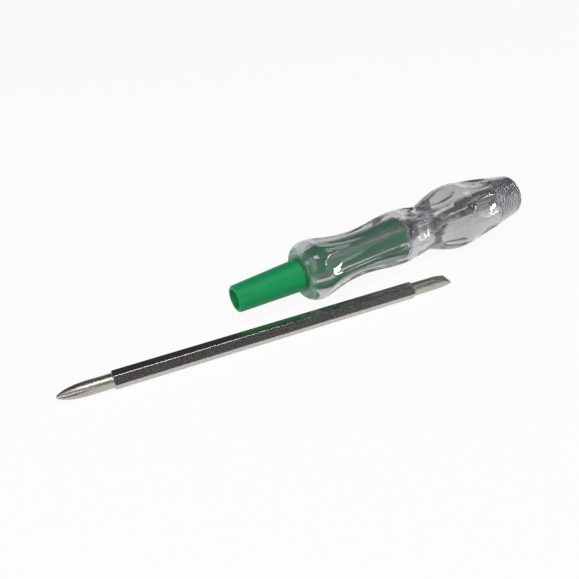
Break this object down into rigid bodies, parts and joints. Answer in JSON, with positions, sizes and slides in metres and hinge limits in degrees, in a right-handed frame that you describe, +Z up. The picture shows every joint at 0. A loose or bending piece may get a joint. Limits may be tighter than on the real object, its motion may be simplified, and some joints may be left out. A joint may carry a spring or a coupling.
{
  "type": "voltage tester screwdriver",
  "caption": "Clear fluted tester handle with a green insulating nose and a neon lamp train inside, and its reversible blade with a cross and a slotted point lying beside it.",
  "frame": {"origin": "middle of the set's bounding box, on the surface that it lies on", "axes": "+X along the handle from the nose to the end cap, +Z up"},
  "size_m": [0.1772, 0.0348, 0.0237],
  "materials": {
    "clear_grip": "clear moulded plastic, polished",
    "green_sleeve": "moulded green plastic, fine satin",
    "blade_plating": "nickel-chromium plated steel, bright",
    "nickel_plate": "nickel plated brass",
    "resistor_coat": "dull tan coating",
    "lamp_glass": "clear glass",
    "electrode_metal": "reddish coated wire",
    "lead_wire": "tinned wire",
    "brass_disc": "turned brass",
    "spring_steel": "drawn spring wire"
  },
  "bodies": {
    "handle": {"handle_shell": "clear_grip", "insulating_sleeve": "green_sleeve"},
    "blade": {"blade": "blade_plating"},
    "lamp_train": {"contact_cup": "nickel_plate", "resistor_cap_front": "nickel_plate", "resistor_body": "resistor_coat", "resistor_cap_rear": "nickel_plate", "lamp_glass": "lamp_glass", "lamp_stem": "lamp_glass", "lamp_electrode_left": "electrode_metal", "lamp_electrode_right": "electrode_metal", "lamp_lead_front": "lead_wire", "lamp_lead_rear": "lead_wire", "pressure_disc": "brass_disc"},
    "spring": {"pressure_spring": "spring_steel"},
    "end_cap": {"end_cap": "nickel_plate"}
  },
  "joints": [
    {"name": "blade_draw", "type": "slide", "parent": "handle", "child": "blade", "axis": [-0.993, 0.1184, 0], "range_m": [0, 0.066]},
    {"name": "train_press", "type": "slide", "parent": "handle", "child": "lamp_train", "axis": [0.9996, 0, 0.0268], "range_m": [0, 0.0015], "stiffness_N_per_m": 300, "springref_m": -0.002, "deforming": ["pressure_spring"]},
    {"name": "cap_travel", "type": "slide", "parent": "handle", "child": "spring", "axis": [0.9996, 0, 0.0268], "range_m": [0, 0.01101]},
    {"name": "cap_turn", "type": "hinge", "parent": "spring", "child": "end_cap", "pos_m": [0.08799, 0.0055, 0.01261], "axis": [0.9996, 0, 0.0268], "range_deg": [0, 3960]}
  ],
  "couplings": [
    {"joint": "cap_travel", "follows": "cap_turn", "m_per_rad": 0.00015915}
  ]
}
